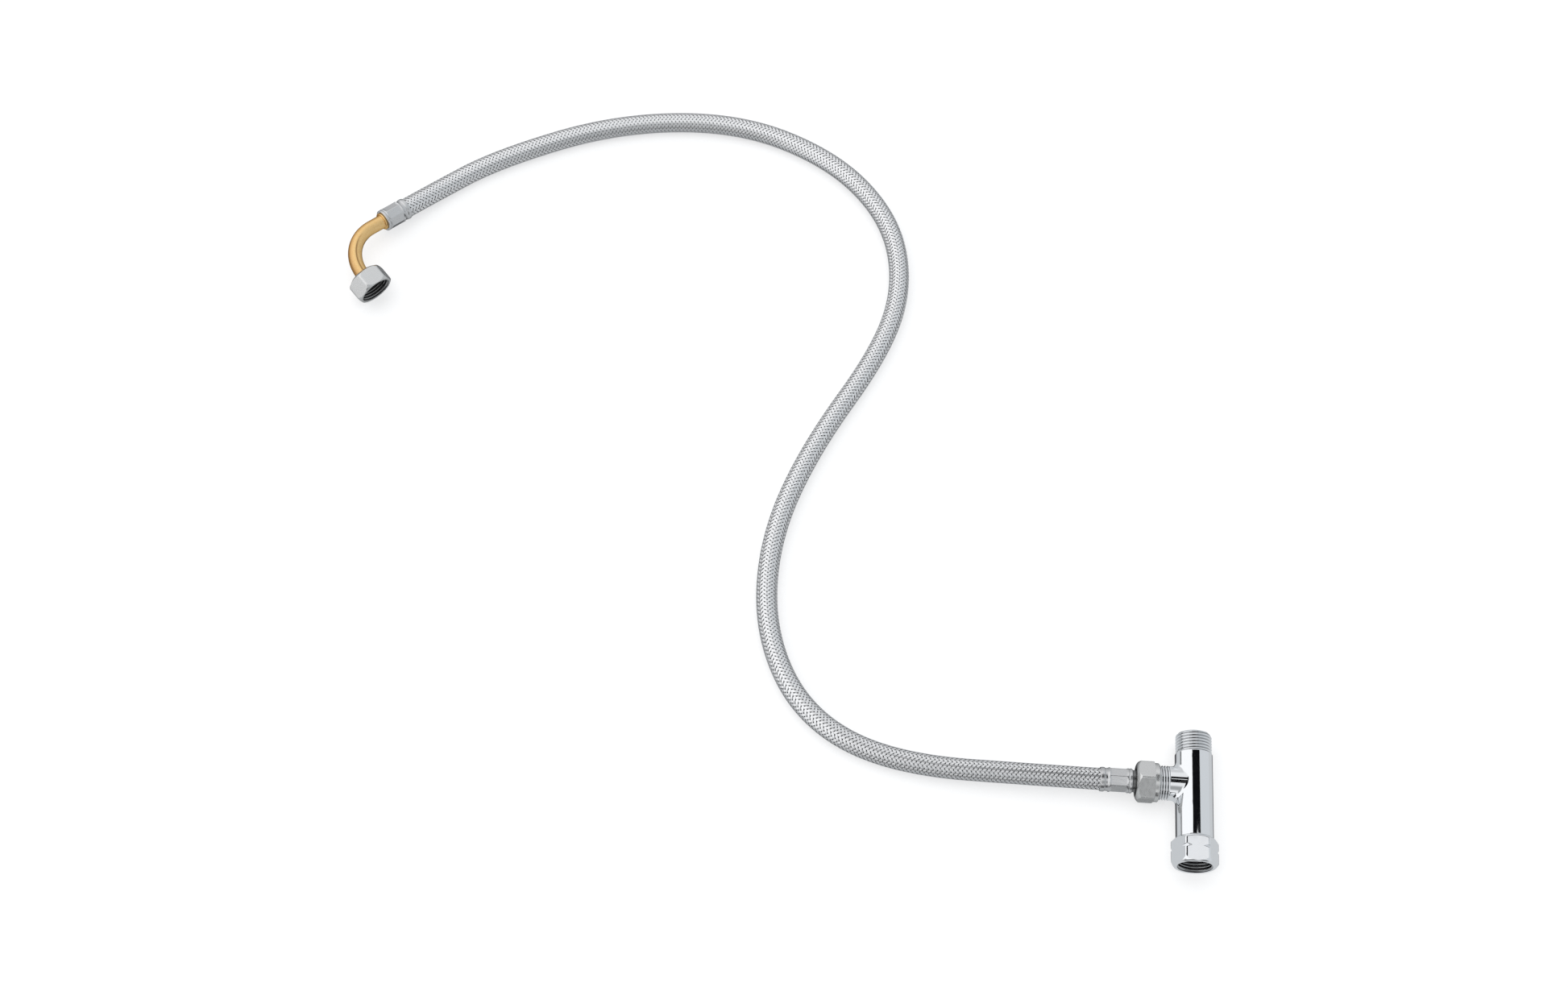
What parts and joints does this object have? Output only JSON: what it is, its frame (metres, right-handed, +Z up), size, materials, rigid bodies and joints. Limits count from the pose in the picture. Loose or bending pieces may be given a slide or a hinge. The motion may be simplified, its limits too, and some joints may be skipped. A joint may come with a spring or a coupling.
{
  "type": "braided supply line",
  "caption": "Wire-braided flexible water hose with a chrome tee and swivel nut at one end and a bent brass pipe with a loose nut at the other.",
  "frame": {"origin": "centre of the inlet nut's mouth, on the tee's run axis", "axes": "+Y up the tee's run to the male outlet, -X along the branch to the hose, +Z up from the surface that the line lies on"},
  "size_m": [0.5571, 0.5094, 0.026],
  "materials": {
    "chrome_plate": "polished chrome plate on brass",
    "satin_nickel": "satin nickel plate",
    "ferrule_steel": "drawn and crimped stainless steel",
    "braid_wire": "bright stainless braiding wire",
    "spring_wire": "plain spring wire",
    "raw_brass": "bare drawn brass",
    "gasket_rubber": "matt rubber",
    "liner_rubber": "matt black rubber"
  },
  "bodies": {
    "root": {"tee_body": "chrome_plate", "inlet_nut_ring": "spring_wire", "inlet_gasket": "gasket_rubber", "hose_gasket": "gasket_rubber", "hose_tail": "satin_nickel", "tee_end_ferrule": "ferrule_steel", "hose_liner": "liner_rubber", "hose_braid": "braid_wire", "elbow_end_ferrule": "ferrule_steel", "elbow_pipe": "raw_brass", "elbow_flange": "raw_brass", "elbow_gasket": "gasket_rubber"},
    "inlet_nut": {"inlet_nut": "chrome_plate"},
    "hose_nut": {"hose_nut": "satin_nickel"},
    "elbow_nut": {"elbow_nut": "satin_nickel"}
  },
  "joints": [
    {"name": "inlet_nut_spin", "type": "hinge", "parent": "root", "child": "inlet_nut", "pos_m": [0, 0.008, 0], "axis": [0, 1, 0], "continuous": true},
    {"name": "hose_nut_spin", "type": "hinge", "parent": "root", "child": "hose_nut", "pos_m": [-0.0278, 0.0493, 0], "axis": [-1, 0, 0], "continuous": true},
    {"name": "elbow_nut_spin", "type": "hinge", "parent": "root", "child": "elbow_nut", "pos_m": [-0.52192, 0.35184, -0.00065], "axis": [0.6891, -0.6952, -0.2045], "continuous": true}
  ]
}
